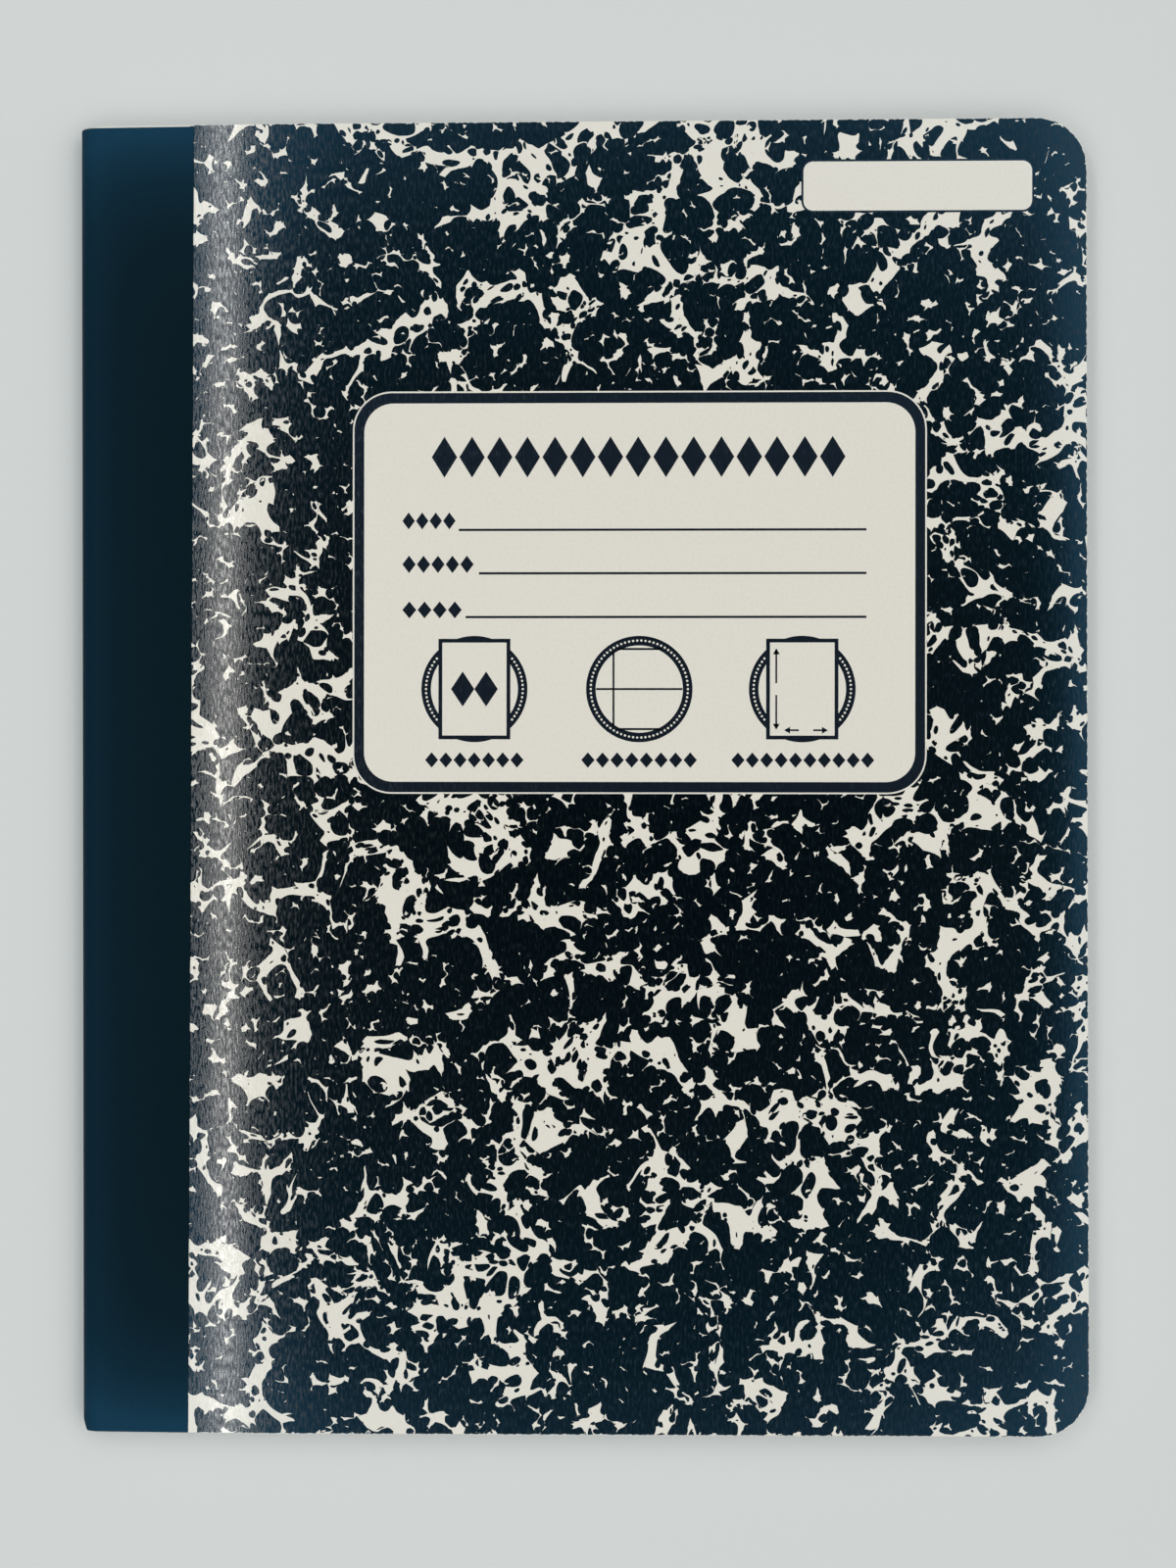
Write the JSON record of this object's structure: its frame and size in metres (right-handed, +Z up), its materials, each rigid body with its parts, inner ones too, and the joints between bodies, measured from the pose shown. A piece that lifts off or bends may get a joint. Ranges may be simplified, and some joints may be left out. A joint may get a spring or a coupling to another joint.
{
  "type": "composition notebook",
  "caption": "Sewn composition notebook: ruled pages in a marbled card cover with a cloth tape spine, round fore-edge corners and two covers that open.",
  "frame": {"origin": "on the resting plane, under the middle of the closed book", "axes": "+X from the spine to the fore edge, +Y from the tail to the head along the spine, +Z up out of the front cover"},
  "size_m": [0.1906, 0.2476, 0.0082],
  "materials": {
    "cover_card": "gloss",
    "binding_tape": "satin",
    "page_paper": "matte",
    "sewing_thread": "matte"
  },
  "bodies": {
    "pages": {"page_block": "page_paper", "spine_card": "cover_card", "spine_tape": "binding_tape", "needle_thread": "sewing_thread", "bobbin_thread": "sewing_thread"},
    "front_cover": {"front_cover": "cover_card", "front_tape": "binding_tape"},
    "back_cover": {"back_cover": "cover_card", "back_tape": "binding_tape"}
  },
  "joints": [
    {"name": "front_hinge", "type": "hinge", "parent": "pages", "child": "front_cover", "pos_m": [-0.09169, 0, 0.00736], "axis": [0, -1, 0], "range_deg": [0, 178]},
    {"name": "back_hinge", "type": "hinge", "parent": "pages", "child": "back_cover", "pos_m": [-0.09157, 0, 0], "axis": [0, 1, 0], "range_deg": [0, 178]}
  ]
}
